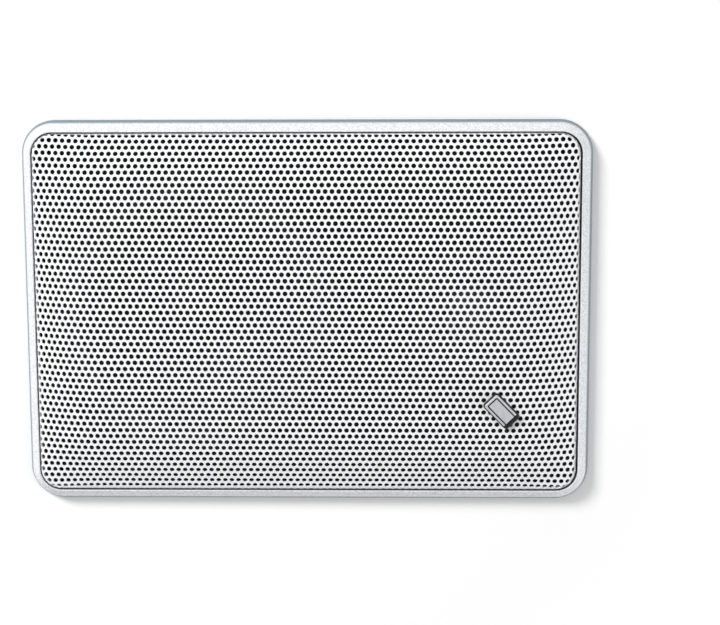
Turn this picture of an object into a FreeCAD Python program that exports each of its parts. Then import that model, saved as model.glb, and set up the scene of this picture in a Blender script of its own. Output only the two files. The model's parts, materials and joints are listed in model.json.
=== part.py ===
import FreeCAD, Part
import math
import os

Vector = FreeCAD.Vector

# Flush-mount two-way panel loudspeaker, all sizes in millimetres.
# X runs across the face, Z up, the face looks along -Y, and the mounting plane is y = 0.

# Panel outline and moulded rim
panel_width = 290.0
panel_height = 196.5
corner_radius = 17.0
rim_width = 6.0
rim_height = 10.0
rim_foot = 1.0
rim_swell = 0.8
lip_round = 0.35
seat_width = 3.2
fit_clearance = 0.2

# Chassis behind the grille
plate_thickness = 3.5
flange_land = 13.0
skirt_wall = 2.4
skirt_depth = 9.0
skirt_corner = 12.0
rib_thickness = 2.0
rib_depth = 5.0
collar_wall = 2.4
collar_depth = 6.0
mount_hole_radius = 2.25
mount_hole_inset = 9.0
mount_pad_radius = 4.9
mount_pad_height = 1.2

# Foam gasket on the back of the flange
gasket_thickness = 1.6
gasket_inset = 1.0
gasket_hole_radius = 3.2

# Perforated grille, a pressed sheet with its edge turned down
grille_gap = 0.5
sheet_thickness = 0.6
shoulder_height = 9.2
crown_height = 10.8
bow_height = 5.2
side_bend = 37.3
end_bend = 30.5
edge_round = 2.2
sheet_overhang = 4.0
sheet_columns = 29
sheet_rows = 23
hole_pitch = 20.5
hole_row = 19.5
hole_radius = 7.5
hole_margin = 4.0

# Spring clips that grip the turned-down edge
clip_width = 9.0
clip_length = 9.0
clip_thickness = 0.6
clip_height = 4.2
clip_bend = 1.1
clip_clearance = 0.3
clip_x = 88.0
clip_z = 42.0

# Blank badge low on the right of the grille
badge_side_inset = 39.7
badge_low_inset = 43.7
badge_length = 17.6
badge_width = 10.2
badge_corner = 1.6
badge_thickness = 2.4
badge_bevel = 0.8
badge_border = 0.9
badge_groove_width = 0.7
badge_groove_depth = 0.6
badge_field_corner = 0.3
badge_turn = 46.0
badge_stud_radius = 0.9
badge_stud_length = 3.4
badge_stud_offset = 4.2
push_nut_radius = 2.6
push_nut_thickness = 0.6
push_nut_clearance = 0.25
badge_clearance = 0.05

# Woofer moving parts
cone_radius = 51.0
cone_lip = 4.5
cone_depth = 19.0
cone_wall = 0.9
dust_cap_radius = 21.0
dust_cap_height = 8.0
former_inner_radius = 12.2
former_wall = 0.4
former_tail = 2.0
coil_thickness = 1.0
coil_length = 11.0

# Woofer suspension
roll_radius = 4.4
roll_wall = 0.8
surround_lip = 5.6
spider_wall = 0.6
spider_wave = 1.1
spider_waves = 5
spider_seat = 4.6
spider_collar = 1.8

# Woofer basket
woofer_margin = 9.5
basket_flange_thickness = 2.5
basket_wall = 2.0
basket_neck = 7.5
basket_depth = 26.0
ledge_clearance = 1.4
floor_margin = 0.4
basket_floor_depth = 15.0
basket_windows = 8
window_width = 24.0
vent_width = 15.0
cutout_clearance = 0.8
gasket_ring_thickness = 2.2

# Woofer motor
gap_clearance = 0.6
plate_step = 3.0
top_plate_thickness = 5.0
magnet_radius = 40.0
bore_step = 4.8
magnet_thickness = 14.0
yoke_thickness = 5.0
pole_clearance = 0.5
pole_vent_radius = 4.5
edge_bevel = 0.8

# Screws
screw_radius = 1.6
screw_head_radius = 3.3
screw_head_height = 2.2
screw_head_crown = 1.0
recess_length = 3.8
recess_width = 0.9
recess_depth = 1.3
screw_length = 11.0
screw_clearance = 0.1
flange_hole_clearance = 0.3
boss_wall = 2.5
boss_depth = 8.0
screw_seat = 4.2
head_clearance = 0.8
woofer_screw_count = 4

# Tweeter
tweeter_margin = 19.7
faceplate_thickness = 3.0
faceplate_round = 1.2
flare_swell = 0.3
throat_clearance = 0.8
spigot_wall = 6.1
spigot_depth = 4.3
dome_radius = 12.7
dome_height = 4.6
dome_wall = 0.4
tweeter_roll_radius = 1.5
tweeter_lip = 2.6
tweeter_coil_length = 3.4
tweeter_coil_thickness = 0.5
tweeter_former_length = 4.4
tweeter_plate_thickness = 3.0
tweeter_magnet_thickness = 7.0
tweeter_bore_step = 3.3
tweeter_yoke_thickness = 3.0
tweeter_gap_clearance = 0.5
tweeter_screw_count = 3
tweeter_screw_length = 9.0

# Terminals
board_thickness = 1.6
board_margin = 2.0
woofer_board_height = 12.0
tab_width = 6.3
tab_thickness = 0.8
tab_length = 9.0
tab_root = 4.0
tab_spacing = 12.0
tweeter_board_height = 8.0

# Crossover on standoffs beside the woofer
crossover_margin = 4.6
board_edge = 0.9
board_rim = 4.0
standoff_depth = 8.0
standoff_inset = 4.5
capacitor_radius = 7.0
capacitor_length = 26.0
capacitor_round = 1.0
bobbin_radius = 13.0
bobbin_core_radius = 5.0
bobbin_flange = 1.5
bobbin_height = 14.0
winding_inset = 1.6
resistor_length = 22.0
resistor_side = 7.0
part_spacing = 2.6

# Values that follow from the sizes above
inner_width = panel_width - 2 * rim_width
inner_height = panel_height - 2 * rim_width
inner_corner = corner_radius - rim_width
plate_width = inner_width + 2 * seat_width - 2 * fit_clearance
plate_height = inner_height + 2 * seat_width - 2 * fit_clearance
plate_corner = inner_corner + seat_width - fit_clearance
skirt_width = inner_width - 2 * flange_land
skirt_height = inner_height - 2 * flange_land
grille_width = inner_width - 2 * grille_gap
grille_height = inner_height - 2 * grille_gap
grille_corner = inner_corner - grille_gap
badge_x = grille_width / 2 - badge_side_inset
badge_z = badge_low_inset - grille_height / 2
plate_front = -plate_thickness
mount_x = inner_width / 2 - mount_hole_inset
mount_z = inner_height / 2 - mount_hole_inset

flange_front = plate_front - basket_flange_thickness
basket_inner_radius = cone_radius + 2 * roll_radius - roll_wall / 2
basket_outer_radius = basket_inner_radius + basket_wall
surround_radius = cone_radius + 2 * roll_radius - roll_wall + surround_lip
woofer_screw_circle = surround_radius + head_clearance + screw_head_radius
flange_radius = woofer_screw_circle + screw_seat
woofer_x = -(inner_width / 2 - woofer_margin - flange_radius)
basket_floor_radius = magnet_radius + floor_margin
ledge_radius = basket_floor_radius - basket_wall + spider_seat + ledge_clearance
ledge_front = flange_front + basket_depth
floor_front = ledge_front + basket_floor_depth - basket_wall
motor_front = floor_front + basket_wall
former_radius = former_inner_radius + former_wall
coil_radius = former_radius + coil_thickness
cone_neck = flange_front + cone_depth
coil_middle = motor_front + top_plate_thickness / 2
magnet_front = motor_front + top_plate_thickness
yoke_front = magnet_front + magnet_thickness
motor_plate_radius = magnet_radius - plate_step

tweeter_roll_inner = dome_radius + screw_clearance
throat_radius = tweeter_roll_inner + dome_wall + 2 * tweeter_roll_radius + throat_clearance
tweeter_lip_radius = dome_radius + 2 * tweeter_roll_radius + dome_wall + tweeter_lip
spigot_radius = tweeter_lip_radius + fit_clearance + spigot_wall
tweeter_screw_circle = spigot_radius + head_clearance + screw_head_radius
faceplate_radius = tweeter_screw_circle + screw_seat
tweeter_x = inner_width / 2 - tweeter_margin - faceplate_radius
faceplate_front = plate_front - faceplate_thickness
tweeter_seat = plate_front + spigot_depth
tweeter_former_radius = dome_radius
tweeter_coil_radius = tweeter_former_radius + tweeter_coil_thickness
tweeter_magnet_front = tweeter_seat + tweeter_plate_thickness
tweeter_yoke_front = tweeter_magnet_front + tweeter_magnet_thickness
tweeter_back = tweeter_yoke_front + tweeter_yoke_thickness

terminal_board_width = tab_spacing + tab_width + 2 * board_margin
parts_length = capacitor_length + 2 * bobbin_radius + tab_width + 3 * part_spacing
crossover_width = 2 * standoff_inset + parts_length + board_edge
crossover_height = 2 * bobbin_radius + 2 * board_rim
crossover_x = skirt_width / 2 - skirt_wall - crossover_margin - crossover_width / 2
crossover_z = -(skirt_height / 2 - skirt_wall - crossover_margin - crossover_height / 2)
crossover_back = standoff_depth + board_thickness


# A block along Y with its four long edges rounded
def rounded_block(width, height, radius, front, back):
    corner = Vector(-width / 2, front, -height / 2)
    block = Part.makeBox(width, back - front, height, corner)
    long_edges = [e for e in block.Edges if abs(e.Vertexes[0].Y - e.Vertexes[1].Y) > 0.001]
    return block.makeFillet(radius, long_edges)


# A plain box given by its middle across and up, and by its front and back
def box_at(x, z, width, height, front, back):
    return Part.makeBox(width, back - front, height, Vector(x - width / 2, front, z - height / 2))


def cylinder_at(x, z, radius, front, back):
    return Part.makeCylinder(radius, back - front, Vector(x, front, z), Vector(0, 1, 0))


def ring_at(x, z, outer_radius, inner_radius, front, back):
    return cylinder_at(x, z, outer_radius, front, back).cut(cylinder_at(x, z, inner_radius, front, back))


# A flat face beside the Y axis through (x, z). The profile is (radius, depth) points;
# a step that holds two points is an arc through the first to the second.
def profile_face(x, z, profile):
    def place(point):
        return Vector(x + point[0], point[1], z)
    edges = []
    here = profile[0]
    for step in profile[1:]:
        if isinstance(step[0], tuple):
            edges.append(Part.Arc(place(here), place(step[0]), place(step[1])).toShape())
            here = step[1]
        else:
            edges.append(Part.LineSegment(place(here), place(step)).toShape())
            here = step
    if here != profile[0]:
        edges.append(Part.LineSegment(place(here), place(profile[0])).toShape())
    return Part.Face(Part.Wire(edges))


# A turned piece about the Y axis through (x, z)
def turned(x, z, profile):
    return profile_face(x, z, profile).revolve(Vector(x, 0, z), Vector(0, 1, 0), 360)


# Copies of a shape turned evenly about the Y axis through (x, z)
def around(shape, x, z, count, first_angle):
    copies = []
    for index in range(count):
        copy = shape.copy()
        copy.rotate(Vector(x, 0, z), Vector(0, 1, 0), first_angle + index * 360.0 / count)
        copies.append(copy)
    return copies


def points_around(x, z, radius, count, first_angle):
    turns = [math.radians(first_angle + index * 360.0 / count) for index in range(count)]
    return [(x + radius * math.cos(turn), z + radius * math.sin(turn)) for turn in turns]


def joined(shapes):
    return shapes[0].multiFuse(shapes[1:]).removeSplitter()


# A cross-recessed pan-head screw: its head sits on the surface at seat, its shank points along direction
def pan_screw(x, z, seat, length, direction):
    crown = screw_head_crown
    corner = crown * (1 - math.sqrt(0.5))
    profile = [
        (0.0, seat - direction * screw_head_height),
        (screw_head_radius - crown, seat - direction * screw_head_height),
        ((screw_head_radius - corner, seat - direction * (screw_head_height - corner)),
         (screw_head_radius, seat - direction * (screw_head_height - crown))),
        (screw_head_radius, seat),
        (screw_radius, seat),
        (screw_radius, seat + direction * (length - screw_radius)),
        (0.0, seat + direction * length),
    ]
    head_top = seat - direction * screw_head_height
    recess_floor = head_top + direction * recess_depth
    front = min(head_top, recess_floor)
    back = max(head_top, recess_floor)
    cross = [box_at(x, z, recess_length, recess_width, front, back),
             box_at(x, z, recess_width, recess_length, front, back)]
    return turned(x, z, profile).cut(cross)


woofer_screw_places = points_around(woofer_x, 0, woofer_screw_circle, woofer_screw_count, 45.0)
tweeter_screw_places = points_around(tweeter_x, 0, tweeter_screw_circle, tweeter_screw_count, 90.0)
standoff_places = [
    (crossover_x + side * (crossover_width / 2 - standoff_inset),
     crossover_z + end * (crossover_height / 2 - standoff_inset))
    for side in (-1, 1) for end in (-1, 1)
]
mount_places = [(side * mount_x, end * mount_z) for side in (-1, 1) for end in (-1, 1)]


# Rim: one section swept along the four sides and corners, with an upright foot, a swelling slope,
# a rounded lip and a rebate behind for the chassis plate
def make_bezel():
    lip_start = rim_width - lip_round
    lip_corner = lip_round * (1 - math.sqrt(0.5))
    slope_rise = rim_height - rim_foot
    slope_length = math.hypot(lip_start, slope_rise)
    swell_in = lip_start / 2 - rim_swell * slope_rise / slope_length
    swell_out = rim_foot + slope_rise / 2 + rim_swell * lip_start / slope_length
    seat = rim_width - seat_width
    outer = corner_radius
    section = profile_face(0, 0, [
        (outer, 0.0), (outer, -rim_foot),
        ((outer - swell_in, -swell_out), (outer - lip_start, -rim_height)),
        ((outer - rim_width + lip_corner, lip_corner - rim_height),
         (outer - rim_width, lip_round - rim_height)),
        (outer - rim_width, plate_front), (outer - seat, plate_front), (outer - seat, 0.0),
    ])
    straight_x = panel_width / 2 - corner_radius
    straight_z = panel_height / 2 - corner_radius
    corners = [(straight_x, -straight_z), (straight_x, straight_z),
               (-straight_x, straight_z), (-straight_x, -straight_z)]
    lengths = [2 * straight_z, 2 * straight_x] * 2
    solids = []
    for index, (x, z) in enumerate(corners):
        bend = section.revolve(Vector(0, 0, 0), Vector(0, 1, 0), 90)
        side = section.extrude(Vector(0, 0, lengths[index]))
        for piece in (bend, side):
            piece.rotate(Vector(0, 0, 0), Vector(0, -1, 0), 90 * index)
            piece.translate(Vector(x, 0, z))
            solids.append(piece)
    return joined(solids)


# Moulded chassis: baffle plate, locating skirt, ribs, collars, bosses and standoffs
def make_chassis():
    plate = rounded_block(plate_width, plate_height, plate_corner, plate_front, 0)
    skirt = rounded_block(skirt_width, skirt_height, skirt_corner, 0, skirt_depth)
    skirt = skirt.cut(rounded_block(skirt_width - 2 * skirt_wall, skirt_height - 2 * skirt_wall,
                                    skirt_corner - skirt_wall, 0, skirt_depth))
    woofer_hole = basket_outer_radius + cutout_clearance
    tweeter_hole = spigot_radius + cutout_clearance
    solids = [plate, skirt]
    solids.append(cylinder_at(woofer_x, 0, woofer_hole + collar_wall, 0, collar_depth))
    solids.append(cylinder_at(tweeter_x, 0, tweeter_hole + collar_wall, 0, collar_depth))
    solids.append(box_at(0, 0, skirt_width - skirt_wall, rib_thickness, 0, rib_depth))
    for rib_x in (woofer_x, tweeter_x):
        solids.append(box_at(rib_x, 0, rib_thickness, skirt_height - skirt_wall, 0, rib_depth))
    boss_radius = screw_radius + boss_wall
    for x, z in woofer_screw_places + tweeter_screw_places:
        solids.append(cylinder_at(x, z, boss_radius, 0, boss_depth))
    for x, z in standoff_places:
        solids.append(cylinder_at(x, z, boss_radius, 0, standoff_depth))
    edge_inset = sheet_thickness + clip_clearance
    inside_edge = rounded_block(grille_width - 2 * edge_inset, grille_height - 2 * edge_inset,
                                grille_corner - edge_inset, plate_front - mount_pad_height, plate_front)
    for x, z in mount_places:
        pad = cylinder_at(x, z, mount_pad_radius, plate_front - mount_pad_height, plate_front)
        solids.append(pad.common(inside_edge))
    body = joined(solids)
    pilot = screw_radius + screw_clearance
    cuts = [cylinder_at(woofer_x, 0, woofer_hole, plate_front, skirt_depth),
            cylinder_at(tweeter_x, 0, tweeter_hole, plate_front, skirt_depth)]
    for x, z in woofer_screw_places + tweeter_screw_places:
        cuts.append(cylinder_at(x, z, pilot, plate_front, boss_depth))
    for x, z in standoff_places:
        cuts.append(cylinder_at(x, z, pilot, 0, standoff_depth))
    for x, z in mount_places:
        cuts.append(cylinder_at(x, z, mount_hole_radius, plate_front - mount_pad_height, 0))
    return body.cut(cuts)


def make_mounting_gasket():
    ring = rounded_block(plate_width - 2 * gasket_inset, plate_height - 2 * gasket_inset,
                         plate_corner - gasket_inset, 0, gasket_thickness)
    ring = ring.cut(rounded_block(skirt_width + 2 * fit_clearance, skirt_height + 2 * fit_clearance,
                                  skirt_corner + fit_clearance, 0, gasket_thickness))
    return ring.cut([cylinder_at(x, z, gasket_hole_radius, 0, gasket_thickness) for x, z in mount_places])


# Share of the crown at a place across the sheet: 1 over the field, falling in a bend to 0 at the edge
def bend_share(place, half_span, bend):
    from_edge = half_span - abs(place)
    if from_edge >= bend:
        return 1.0
    return 1.0 - (1.0 - from_edge / bend) ** 2


# Height of the sheet's front above its shoulder
def pillow_height(x, z):
    bow = bow_height / crown_height
    across = bend_share(x, grille_width / 2, side_bend)
    along = bend_share(z, grille_height / 2, end_bend) * (1.0 - bow)
    along += bow * (1.0 - (2 * z / grille_height) ** 2)
    return crown_height * across * along


# Solid under the pillow: inset on all sides and sunk by the same wall
def pillow_block(inset, sink, round_radius, back):
    grid = []
    for column in range(sheet_columns):
        x = (grille_width / 2 + sheet_overhang) * (2 * column / (sheet_columns - 1) - 1)
        line = []
        for row in range(sheet_rows):
            z = (grille_height / 2 + sheet_overhang) * (2 * row / (sheet_rows - 1) - 1)
            line.append(Vector(x, sink - shoulder_height - pillow_height(x, z), z))
        grid.append(line)
    surface = Part.BSplineSurface()
    surface.interpolate(grid)
    reach = shoulder_height + crown_height
    above = surface.toShape().extrude(Vector(0, -2 * reach, 0))
    block = rounded_block(grille_width - 2 * inset, grille_height - 2 * inset, grille_corner - inset,
                          -2 * reach, back)
    block = block.cut(above)
    top = [f for f in block.Faces if isinstance(f.Surface, Part.BSplineSurface)][0]
    return block.makeFillet(round_radius, top.Edges)


# Places of the holes: staggered rows, clear of the edge bend and of the badge's seat
def hole_places():
    keep_x = grille_width / 2 - hole_margin - hole_radius
    keep_z = grille_height / 2 - hole_margin - hole_radius
    keep_corner = max(grille_corner - hole_margin - hole_radius, 0.0)
    badge_seat = badge_stud_offset + push_nut_radius + hole_radius
    places = []
    rows = int(keep_z / hole_row)
    for row in range(-rows, rows + 1):
        shift = hole_pitch / 2 if row % 2 else 0.0
        for column in range(-int(keep_x / hole_pitch) - 1, int(keep_x / hole_pitch) + 1):
            x = column * hole_pitch + shift
            z = row * hole_row
            if abs(x) > keep_x:
                continue
            corner_x = abs(x) - (keep_x - keep_corner)
            corner_z = abs(z) - (keep_z - keep_corner)
            if corner_x > 0 and corner_z > 0 and math.hypot(corner_x, corner_z) > keep_corner:
                continue
            if math.hypot(x - badge_x, z - badge_z) < badge_seat:
                continue
            places.append((x, z))
    return places


# Sets a shape that stands on the origin, facing -Y, square on the sheet at the badge's place
def on_sheet(shape):
    step = 0.5
    slope_x = (pillow_height(badge_x + step, badge_z) - pillow_height(badge_x - step, badge_z)) / (2 * step)
    slope_z = (pillow_height(badge_x, badge_z + step) - pillow_height(badge_x, badge_z - step)) / (2 * step)
    normal = Vector(-slope_x, -1, -slope_z).normalize()
    lean = FreeCAD.Rotation(Vector(0, -1, 0), normal)
    spin = FreeCAD.Rotation(Vector(0, 1, 0), badge_turn)
    seat = Vector(badge_x, -shoulder_height - pillow_height(badge_x, badge_z), badge_z)
    placed = shape.copy()
    placed.Placement = FreeCAD.Placement(seat, lean.multiply(spin))
    return placed


def badge_studs(radius, front, back):
    return [cylinder_at(side * badge_stud_offset, 0, radius, front, back) for side in (-1, 1)]


def make_grille():
    outer = pillow_block(0.0, 0.0, edge_round, plate_front)
    inner = pillow_block(sheet_thickness, sheet_thickness, edge_round - sheet_thickness, 0.0)
    sheet = outer.cut(inner)
    reach = -shoulder_height - crown_height - sheet_thickness
    holes = [cylinder_at(x, z, hole_radius, reach, plate_front) for x, z in hole_places()]
    stud_holes = badge_studs(badge_stud_radius + screw_clearance, -badge_thickness, badge_stud_length)
    return sheet.cut(holes + [on_sheet(stud) for stud in stud_holes])


# Blank plate with a bevelled edge, a groove that sets a border off from the field, and two studs behind
def make_badge():
    front = -badge_thickness - badge_clearance
    plate = rounded_block(badge_length, badge_width, badge_corner, front, -badge_clearance)
    face = [e for e in plate.Edges if all(abs(v.Y - front) < 0.001 for v in e.Vertexes)]
    plate = plate.makeChamfer(badge_bevel, face)
    outside = badge_bevel + badge_border
    inside = outside + badge_groove_width
    floor = front + badge_groove_depth
    groove = rounded_block(badge_length - 2 * outside, badge_width - 2 * outside, badge_corner - badge_bevel,
                           front, floor)
    field = rounded_block(badge_length - 2 * inside, badge_width - 2 * inside, badge_field_corner,
                          front, floor)
    plate = plate.cut(groove.cut(field))
    return on_sheet(joined([plate] + badge_studs(badge_stud_radius, -badge_clearance, badge_stud_length)))


def make_badge_nuts():
    front = sheet_thickness + push_nut_clearance
    nuts = [ring_at(side * badge_stud_offset, 0, push_nut_radius, badge_stud_radius + screw_clearance,
                    front, front + push_nut_thickness) for side in (-1, 1)]
    return on_sheet(Part.makeCompound(nuts))


# Spring clip: a foot on the plate and a leaf that stands beside the turned-down edge, which lies at edge
def spring_clip(edge):
    leaf = edge - sheet_thickness - clip_clearance
    outline = [
        (leaf - clip_length, plate_front), (leaf, plate_front),
        (leaf, plate_front - clip_height + clip_bend),
        (leaf - clip_bend, plate_front - clip_height),
        (leaf - clip_bend - clip_thickness, plate_front - clip_height + clip_thickness / 2),
        (leaf - clip_thickness, plate_front - clip_height + clip_bend + clip_thickness / 2),
        (leaf - clip_thickness, plate_front - clip_thickness),
        (leaf - clip_length, plate_front - clip_thickness),
    ]
    points = [Vector(x, y, -clip_width / 2) for x, y in outline]
    return Part.Face(Part.makePolygon(points + points[:1])).extrude(Vector(0, 0, clip_width))


def make_grille_clips():
    clips = []
    for turn, edge, spread in ((0, grille_width, clip_z), (90, grille_height, clip_x)):
        for flip in (0, 180):
            for side in (-1, 1):
                clip = spring_clip(edge / 2)
                clip.translate(Vector(0, 0, side * spread))
                clip.rotate(Vector(0, 0, 0), Vector(0, 1, 0), turn + flip)
                clips.append(clip)
    return Part.makeCompound(clips)


# Open basket: flange, neck, slanted spokes, spider ledge and floor
def make_woofer_basket():
    neck_back = flange_front + basket_neck
    ledge_back = ledge_front + basket_wall
    profile = [
        (flange_radius, flange_front), (flange_radius, plate_front), (basket_outer_radius, plate_front),
        (basket_outer_radius, neck_back + basket_wall / 2), (ledge_radius + basket_wall / 2, ledge_back),
        (basket_floor_radius, ledge_back), (basket_floor_radius, motor_front),
        (coil_radius + gap_clearance + basket_wall, motor_front),
        (coil_radius + gap_clearance + basket_wall, floor_front),
        (basket_floor_radius - basket_wall, floor_front), (basket_floor_radius - basket_wall, ledge_front),
        (ledge_radius, ledge_front), (basket_inner_radius, neck_back), (basket_inner_radius, flange_front),
    ]
    basket = turned(woofer_x, 0, profile)
    spoke_turn = 180.0 / basket_windows
    reach = flange_radius
    window = box_at(woofer_x + reach / 2, 0, reach, window_width, neck_back + basket_wall, ledge_front)
    window = window.cut(cylinder_at(woofer_x, 0, basket_floor_radius, flange_front, motor_front))
    vent = box_at(woofer_x + reach / 2, 0, reach, vent_width, ledge_back + basket_wall, floor_front)
    vent = vent.cut(cylinder_at(woofer_x, 0, former_radius, flange_front, motor_front))
    cuts = around(window, woofer_x, 0, basket_windows, spoke_turn)
    cuts += around(vent, woofer_x, 0, basket_windows, spoke_turn)
    for x, z in woofer_screw_places:
        cuts.append(cylinder_at(x, z, screw_radius + flange_hole_clearance, flange_front, plate_front))
    return basket.cut(cuts)


def make_woofer_cone():
    lip = cone_radius - cone_lip
    profile = [
        (cone_radius, flange_front), (cone_radius, flange_front + cone_wall),
        (lip - cone_wall / 2, flange_front + cone_wall), (former_radius, cone_neck + cone_wall),
        (former_radius, cone_neck), (lip, flange_front),
    ]
    return turned(woofer_x, 0, profile)


# Front of the cone at a radius
def cone_front(radius):
    lip = cone_radius - cone_lip
    return cone_neck - cone_depth * (radius - former_radius) / (lip - former_radius)


# Middle point of the arc of a spherical cap, from its top on the axis to its edge
def cap_middle(radius, top, edge):
    height = edge - top
    sphere = (radius ** 2 + height ** 2) / (2 * height)
    turn = math.asin(radius / sphere) / 2
    return (sphere * math.sin(turn), top + sphere * (1 - math.cos(turn)))


# Domed cap seated on the cone
def make_woofer_dust_cap():
    inner = dust_cap_radius - cone_wall
    edge = cone_front(dust_cap_radius)
    inner_edge = cone_front(inner)
    top = edge - dust_cap_height
    inner_top = top + cone_wall
    profile = [
        (0.0, top), (cap_middle(dust_cap_radius, top, edge), (dust_cap_radius, edge)),
        (inner, inner_edge), (cap_middle(inner, inner_top, inner_edge), (0.0, inner_top)),
    ]
    return turned(woofer_x, 0, profile)


def make_woofer_former():
    back = coil_middle + coil_length / 2 + former_tail
    return ring_at(woofer_x, 0, former_radius, former_inner_radius, cone_neck, back)


def make_woofer_coil():
    front = coil_middle - coil_length / 2
    return ring_at(woofer_x, 0, coil_radius, former_radius, front, front + coil_length)


# Half-roll rubber edge between the basket's flange and the cone's lip
def make_woofer_surround():
    middle = cone_radius + roll_radius - roll_wall / 2
    inner_roll = roll_radius - roll_wall / 2
    outer_roll = roll_radius + roll_wall / 2
    front = flange_front - roll_wall
    profile = [
        (middle + inner_roll, flange_front), (surround_radius, flange_front),
        (surround_radius, front), (middle + outer_roll, front),
        ((middle, front - outer_roll), (middle - outer_roll, front)),
        (cone_radius - cone_lip, front), (cone_radius - cone_lip, flange_front),
        (middle - inner_roll, flange_front),
        ((middle, flange_front - inner_roll - roll_wall / 2), (middle + inner_roll, flange_front)),
    ]
    return turned(woofer_x, 0, profile)


# Corrugated disc that centres the former on the basket's ledge
def make_woofer_spider():
    inner = former_radius + screw_clearance
    first = inner + spider_collar
    last = basket_floor_radius - basket_wall
    half_wave = (last - first) / (2 * spider_waves)
    back = ledge_front
    front = ledge_front - spider_wall
    crests = []
    for index in range(2 * spider_waves):
        start = first + index * half_wave
        lift = spider_wave if index % 2 else -spider_wave
        crests.append((start, start + half_wave / 2, start + half_wave, lift))
    profile = [(inner, front), (first, front)]
    for start, middle, end, lift in crests:
        profile.append(((middle, front + lift), (end, front)))
    profile += [(last + spider_seat, front), (last + spider_seat, back), (last, back)]
    for start, middle, end, lift in reversed(crests):
        profile.append(((middle, back + lift), (start, back)))
    profile.append((inner, back))
    return turned(woofer_x, 0, profile)


def make_woofer_gasket_ring():
    back = flange_front - roll_wall
    middle = cone_radius + roll_radius - roll_wall / 2
    inner = middle + roll_radius + roll_wall
    return ring_at(woofer_x, 0, surround_radius, inner, back - gasket_ring_thickness, back)


def make_woofer_top_plate():
    hole = coil_radius + gap_clearance
    return ring_at(woofer_x, 0, motor_plate_radius, hole, motor_front, magnet_front)


def make_woofer_magnet():
    bore = coil_radius + gap_clearance + bore_step
    ring = ring_at(woofer_x, 0, magnet_radius, bore, magnet_front, yoke_front)
    rims = [e for e in ring.Edges
            if isinstance(e.Curve, Part.Circle) and abs(e.Curve.Radius - magnet_radius) < 0.001]
    return ring.makeChamfer(edge_bevel, rims)


# Back plate and vented pole in one turned piece
def make_woofer_yoke():
    pole = former_inner_radius - pole_clearance
    back = yoke_front + yoke_thickness
    profile = [
        (pole_vent_radius, motor_front), (pole - edge_bevel, motor_front), (pole, motor_front + edge_bevel),
        (pole, yoke_front), (motor_plate_radius, yoke_front), (motor_plate_radius, back - edge_bevel),
        (motor_plate_radius - edge_bevel, back), (pole_vent_radius + edge_bevel, back),
        (pole_vent_radius, back - edge_bevel),
    ]
    return turned(woofer_x, 0, profile)


def make_woofer_screws():
    return Part.makeCompound([pan_screw(x, z, flange_front, screw_length, 1)
                              for x, z in woofer_screw_places])


# Terminal board that stands against the basket wall, below the ledge
def make_woofer_terminal_board():
    top = -basket_floor_radius
    front = ledge_front + 2 * basket_wall
    return box_at(woofer_x, top - board_thickness / 2, terminal_board_width, board_thickness,
                  front, front + woofer_board_height)


# A flat push-on blade with a pointed tip
def blade(x, z, root, length):
    tip = tab_width / 4
    outline = [(-tab_width / 2, root), (tab_width / 2, root), (tab_width / 2, root + length - tip),
               (tab_width / 2 - tip, root + length), (tip - tab_width / 2, root + length),
               (-tab_width / 2, root + length - tip)]
    points = [Vector(x + across, depth, z) for across, depth in outline]
    sheet = Part.Face(Part.makePolygon(points + points[:1])).extrude(Vector(0, 0, tab_thickness))
    return sheet.cut(Part.makeCylinder(tab_width / 8, tab_thickness,
                                       Vector(x, root + length - 2 * tip, z), Vector(0, 0, 1)))


def make_woofer_tabs():
    board_back = ledge_front + 2 * basket_wall + woofer_board_height
    z = -basket_floor_radius - board_thickness - tab_thickness
    return Part.makeCompound([blade(woofer_x + side * tab_spacing / 2, z, board_back - tab_root,
                                    tab_root + tab_length) for side in (-1, 1)])


# Tweeter front with a flared mouth and a spigot that passes through the chassis
def make_tweeter_faceplate():
    lip_outer = tweeter_lip_radius + fit_clearance
    lip_front = tweeter_seat - dome_wall
    round_corner = faceplate_round * (1 - math.sqrt(0.5))
    flare_middle = (throat_radius + (spigot_radius - throat_radius) * flare_swell,
                    faceplate_front + faceplate_thickness / 2)
    profile = [
        (spigot_radius, faceplate_front), (faceplate_radius - faceplate_round, faceplate_front),
        ((faceplate_radius - round_corner, faceplate_front + round_corner),
         (faceplate_radius, faceplate_front + faceplate_round)),
        (faceplate_radius, plate_front), (spigot_radius, plate_front), (spigot_radius, tweeter_seat),
        (lip_outer, tweeter_seat), (lip_outer, lip_front),
        (throat_radius, lip_front), (throat_radius, plate_front),
        (flare_middle, (spigot_radius, faceplate_front)),
    ]
    plate = turned(tweeter_x, 0, profile)
    hole = screw_radius + flange_hole_clearance
    return plate.cut([cylinder_at(x, z, hole, faceplate_front, plate_front)
                      for x, z in tweeter_screw_places])


# Thin domed diaphragm with its former
def make_tweeter_dome():
    edge = tweeter_seat - dome_wall
    top = tweeter_seat - dome_height
    inner = dome_radius - dome_wall
    inner_top = top + dome_wall
    foot = tweeter_seat + tweeter_former_length
    profile = [
        (0.0, top), (cap_middle(dome_radius, top, edge), (dome_radius, edge)),
        (dome_radius, foot), (inner, foot), (inner, tweeter_seat),
        (cap_middle(inner, inner_top, tweeter_seat), (0.0, inner_top)),
    ]
    return turned(tweeter_x, 0, profile)


def make_tweeter_coil():
    front = tweeter_seat + dome_wall
    return ring_at(tweeter_x, 0, tweeter_coil_radius, tweeter_former_radius, front,
                   front + tweeter_coil_length)


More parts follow.
